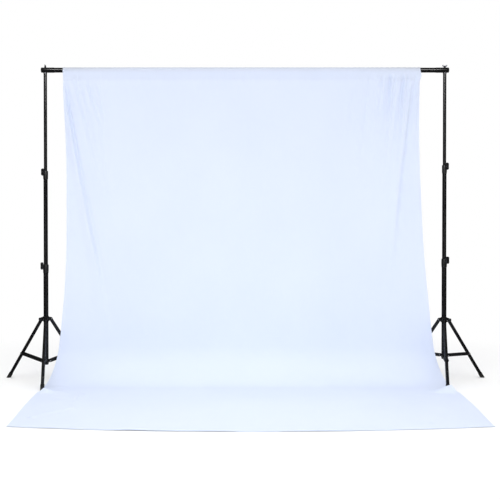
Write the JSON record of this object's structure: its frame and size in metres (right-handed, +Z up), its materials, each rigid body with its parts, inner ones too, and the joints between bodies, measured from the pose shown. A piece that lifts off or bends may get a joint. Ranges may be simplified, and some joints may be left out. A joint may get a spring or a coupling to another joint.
{
  "type": "background support system",
  "caption": "Free-standing backdrop support: telescopic tripod stands carry a crossbar whose cloth hangs in a rod pocket and sweeps forward onto the floor.",
  "frame": {"origin": "on the floor, midway between the two stands and midway from the cloth's front hem to the rear feet", "axes": "+X along the crossbar to the right seen from the front, +Y to the back, +Z up; the cloth sweeps towards -Y"},
  "size_m": [3.5973, 1.6334, 2.3219],
  "materials": {
    "tube_black": "satin black stove enamel on drawn tube",
    "bar_black": "semi-gloss black paint",
    "pressed_black": "satin black paint on pressed steel",
    "casting_black": "fine-textured black powder coat on die casting",
    "plastic_black": "lightly textured black nylon",
    "rubber_black": "matt black rubber",
    "plated_steel": "black zinc plate, worn bright on edges",
    "backdrop_cloth": "plain weave, pale blue-white, soft sheen"
  },
  "bodies": {
    "left_base": {"left_base_tube": "tube_black", "left_base_cap": "plastic_black", "left_lower_collar": "plastic_black", "left_brace_hub": "casting_black"},
    "left_mid": {"left_mid_tube": "tube_black", "left_mid_tube_plug": "plastic_black", "left_upper_collar": "plastic_black"},
    "right_base": {"right_base_tube": "tube_black", "right_base_cap": "plastic_black", "right_lower_collar": "plastic_black", "right_brace_hub": "casting_black"},
    "right_mid": {"right_mid_tube": "tube_black", "right_mid_tube_plug": "plastic_black", "right_upper_collar": "plastic_black"},
    "crossbar": {"bar_section_1": "bar_black", "bar_section_2": "bar_black", "bar_section_3": "bar_black", "bar_section_4": "bar_black", "bar_joiner_1": "plated_steel", "bar_joiner_2": "plated_steel", "bar_joiner_3": "plated_steel", "bar_end_left": "bar_black", "bar_end_right": "bar_black", "left_top_tube": "tube_black", "left_top_tube_plug": "plastic_black", "left_top_stud": "plated_steel", "right_top_tube": "tube_black", "right_top_tube_plug": "plastic_black", "right_top_stud": "plated_steel", "backdrop_cloth": "backdrop_cloth"},
    "left_leg_hub": {"left_leg_hub": "casting_black"},
    "left_leg_front": {"left_leg_front": "tube_black", "left_foot_front": "rubber_black"},
    "left_brace_front": {"left_brace_front": "pressed_black"},
    "left_leg_inner": {"left_leg_inner": "tube_black", "left_foot_inner": "rubber_black"},
    "left_brace_inner": {"left_brace_inner": "pressed_black"},
    "left_leg_outer": {"left_leg_outer": "tube_black", "left_foot_outer": "rubber_black"},
    "left_brace_outer": {"left_brace_outer": "pressed_black"},
    "left_lower_knob": {"left_lower_knob": "plastic_black"},
    "left_upper_knob": {"left_upper_knob": "plastic_black"},
    "left_hub_knob": {"left_hub_knob": "plastic_black"},
    "left_wing_nut": {"left_wing_nut": "plated_steel"},
    "right_leg_hub": {"right_leg_hub": "casting_black"},
    "right_leg_front": {"right_leg_front": "tube_black", "right_foot_front": "rubber_black"},
    "right_brace_front": {"right_brace_front": "pressed_black"},
    "right_leg_inner": {"right_leg_inner": "tube_black", "right_foot_inner": "rubber_black"},
    "right_brace_inner": {"right_brace_inner": "pressed_black"},
    "right_leg_outer": {"right_leg_outer": "tube_black", "right_foot_outer": "rubber_black"},
    "right_brace_outer": {"right_brace_outer": "pressed_black"},
    "right_lower_knob": {"right_lower_knob": "plastic_black"},
    "right_upper_knob": {"right_upper_knob": "plastic_black"},
    "right_hub_knob": {"right_hub_knob": "plastic_black"},
    "right_wing_nut": {"right_wing_nut": "plated_steel"}
  },
  "joints": [
    {"name": "height_lower", "type": "slide", "parent": "left_base", "child": "left_mid", "axis": [0, 0, 1], "range_m": [-0.6, 0.03]},
    {"name": "height_upper", "type": "slide", "parent": "left_mid", "child": "crossbar", "axis": [0, 0, 1], "range_m": [-0.62, 0.03]},
    {"name": "right_upper_slide", "type": "slide", "parent": "crossbar", "child": "right_mid", "axis": [0, 0, -1], "range_m": [-0.62, 0.03]},
    {"name": "right_lower_slide", "type": "slide", "parent": "right_mid", "child": "right_base", "axis": [0, 0, -1], "range_m": [-0.6, 0.03]},
    {"name": "fold_left_tripod", "type": "slide", "parent": "left_base", "child": "left_leg_hub", "axis": [0, 0, 1], "range_m": [0, 0.19268]},
    {"name": "left_leg_front_hinge", "type": "hinge", "parent": "left_leg_hub", "child": "left_leg_front", "pos_m": [-1.45912, 0.54839, 0.45658], "axis": [0.9866, 0.1633, 0], "range_deg": [-0.2, 31.8]},
    {"name": "left_brace_front_hinge", "type": "hinge", "parent": "left_base", "child": "left_brace_front", "pos_m": [-1.46043, 0.55628, 0.14488], "axis": [0.9866, 0.1633, 0], "range_deg": [-71.2, 0.2]},
    {"name": "left_leg_inner_hinge", "type": "hinge", "parent": "left_leg_hub", "child": "left_leg_inner", "pos_m": [-1.43718, 0.60676, 0.45658], "axis": [-0.6347, 0.7727, 0], "range_deg": [-0.2, 31.8]},
    {"name": "left_brace_inner_hinge", "type": "hinge", "parent": "left_base", "child": "left_brace_inner", "pos_m": [-1.44336, 0.60168, 0.14488], "axis": [-0.6347, 0.7727, 0], "range_deg": [-71.2, 0.2]},
    {"name": "left_leg_outer_hinge", "type": "hinge", "parent": "left_leg_hub", "child": "left_leg_outer", "pos_m": [-1.4987, 0.59657, 0.45658], "axis": [-0.3518, -0.9361, 0], "range_deg": [-0.2, 31.8]},
    {"name": "left_brace_outer_hinge", "type": "hinge", "parent": "left_base", "child": "left_brace_outer", "pos_m": [-1.49121, 0.59376, 0.14488], "axis": [-0.3518, -0.9361, 0], "range_deg": [-71.2, 0.2]},
    {"name": "turn_left_lower_knob", "type": "hinge", "parent": "left_base", "child": "left_lower_knob", "pos_m": [-1.465, 0.58391, 0.84688], "axis": [-0.848, -0.5299, 0], "range_deg": [0, 450]},
    {"name": "turn_left_upper_knob", "type": "hinge", "parent": "left_mid", "child": "left_upper_knob", "pos_m": [-1.465, 0.58391, 1.53488], "axis": [-0.5, -0.866, 0], "range_deg": [0, 450]},
    {"name": "turn_left_hub_knob", "type": "hinge", "parent": "left_leg_hub", "child": "left_hub_knob", "pos_m": [-1.465, 0.58391, 0.45658], "axis": [-0.7727, -0.6347, 0], "range_deg": [0, 450]},
    {"name": "turn_left_wing_nut", "type": "hinge", "parent": "crossbar", "child": "left_wing_nut", "pos_m": [-1.465, 0.58391, 2.302], "axis": [0, 0, 1], "continuous": true},
    {"name": "fold_right_tripod", "type": "slide", "parent": "right_base", "child": "right_leg_hub", "axis": [0, 0, 1], "range_m": [0, 0.24168]},
    {"name": "right_leg_front_hinge", "type": "hinge", "parent": "right_leg_hub", "child": "right_leg_front", "pos_m": [1.45912, 0.54839, 0.45022], "axis": [0.9866, -0.1633, 0], "range_deg": [-0.2, 33]},
    {"name": "right_brace_front_hinge", "type": "hinge", "parent": "right_base", "child": "right_brace_front", "pos_m": [1.46043, 0.55628, 0.18752], "axis": [0.9866, -0.1633, 0], "range_deg": [-85.2, 0.2]},
    {"name": "right_leg_inner_hinge", "type": "hinge", "parent": "right_leg_hub", "child": "right_leg_inner", "pos_m": [1.43718, 0.60676, 0.45022], "axis": [-0.6347, -0.7727, 0], "range_deg": [-0.2, 33]},
    {"name": "right_brace_inner_hinge", "type": "hinge", "parent": "right_base", "child": "right_brace_inner", "pos_m": [1.44336, 0.60168, 0.18752], "axis": [-0.6347, -0.7727, 0], "range_deg": [-85.2, 0.2]},
    {"name": "right_leg_outer_hinge", "type": "hinge", "parent": "right_leg_hub", "child": "right_leg_outer", "pos_m": [1.4987, 0.59657, 0.45022], "axis": [-0.3518, 0.9361, 0], "range_deg": [-0.2, 33]},
    {"name": "right_brace_outer_hinge", "type": "hinge", "parent": "right_base", "child": "right_brace_outer", "pos_m": [1.49121, 0.59376, 0.18752], "axis": [-0.3518, 0.9361, 0], "range_deg": [-85.2, 0.2]},
    {"name": "turn_right_lower_knob", "type": "hinge", "parent": "right_base", "child": "right_lower_knob", "pos_m": [1.465, 0.58391, 0.88953], "axis": [0.6018, -0.7986, 0], "range_deg": [0, 450]},
    {"name": "turn_right_upper_knob", "type": "hinge", "parent": "right_mid", "child": "right_upper_knob", "pos_m": [1.465, 0.58391, 1.57753], "axis": [0.4695, -0.8829, 0], "range_deg": [0, 450]},
    {"name": "turn_right_hub_knob", "type": "hinge", "parent": "right_leg_hub", "child": "right_hub_knob", "pos_m": [1.465, 0.58391, 0.45022], "axis": [0.7727, -0.6347, 0], "range_deg": [0, 450]},
    {"name": "turn_right_wing_nut", "type": "hinge", "parent": "crossbar", "child": "right_wing_nut", "pos_m": [1.465, 0.58391, 2.302], "axis": [0, 0, 1], "continuous": true}
  ],
  "couplings": [
    {"joint": "right_upper_slide", "follows": "height_upper", "ratio": 1},
    {"joint": "right_lower_slide", "follows": "height_lower", "ratio": 1},
    {"joint": "left_leg_front_hinge", "follows": "fold_left_tripod", "rad_per_m": 2.8619},
    {"joint": "left_brace_front_hinge", "follows": "fold_left_tripod", "rad_per_m": -6.431},
    {"joint": "left_leg_inner_hinge", "follows": "fold_left_tripod", "rad_per_m": 2.8619},
    {"joint": "left_brace_inner_hinge", "follows": "fold_left_tripod", "rad_per_m": -6.431},
    {"joint": "left_leg_outer_hinge", "follows": "fold_left_tripod", "rad_per_m": 2.8619},
    {"joint": "left_brace_outer_hinge", "follows": "fold_left_tripod", "rad_per_m": -6.431},
    {"joint": "right_leg_front_hinge", "follows": "fold_right_tripod", "rad_per_m": 2.3687},
    {"joint": "right_brace_front_hinge", "follows": "fold_right_tripod", "rad_per_m": -6.1383},
    {"joint": "right_leg_inner_hinge", "follows": "fold_right_tripod", "rad_per_m": 2.3687},
    {"joint": "right_brace_inner_hinge", "follows": "fold_right_tripod", "rad_per_m": -6.1383},
    {"joint": "right_leg_outer_hinge", "follows": "fold_right_tripod", "rad_per_m": 2.3687},
    {"joint": "right_brace_outer_hinge", "follows": "fold_right_tripod", "rad_per_m": -6.1383}
  ]
}
